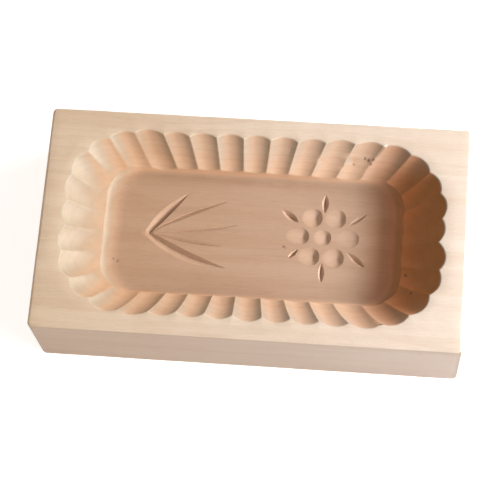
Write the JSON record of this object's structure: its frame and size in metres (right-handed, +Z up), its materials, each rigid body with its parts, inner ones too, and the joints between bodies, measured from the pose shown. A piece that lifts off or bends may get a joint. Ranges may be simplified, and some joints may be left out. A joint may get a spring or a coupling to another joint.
{
  "type": "butter mold",
  "caption": "Rectangular one-piece wooden butter mold, its fluted hollow carved with a flower and a spray of leaves that print on the butter.",
  "frame": {"origin": "centre of the flat underside that the block rests on", "axes": "+X along the block's length and the grain, towards the flower's end; +Y across it, towards the back; +Z up, out of the hollow"},
  "size_m": [0.19, 0.104, 0.045],
  "materials": {
    "pale_wood": "fine-sanded bare pale hardwood, unvarnished, grain along X"
  },
  "bodies": {
    "root": {"mold_block": "pale_wood"}
  },
  "joints": []
}
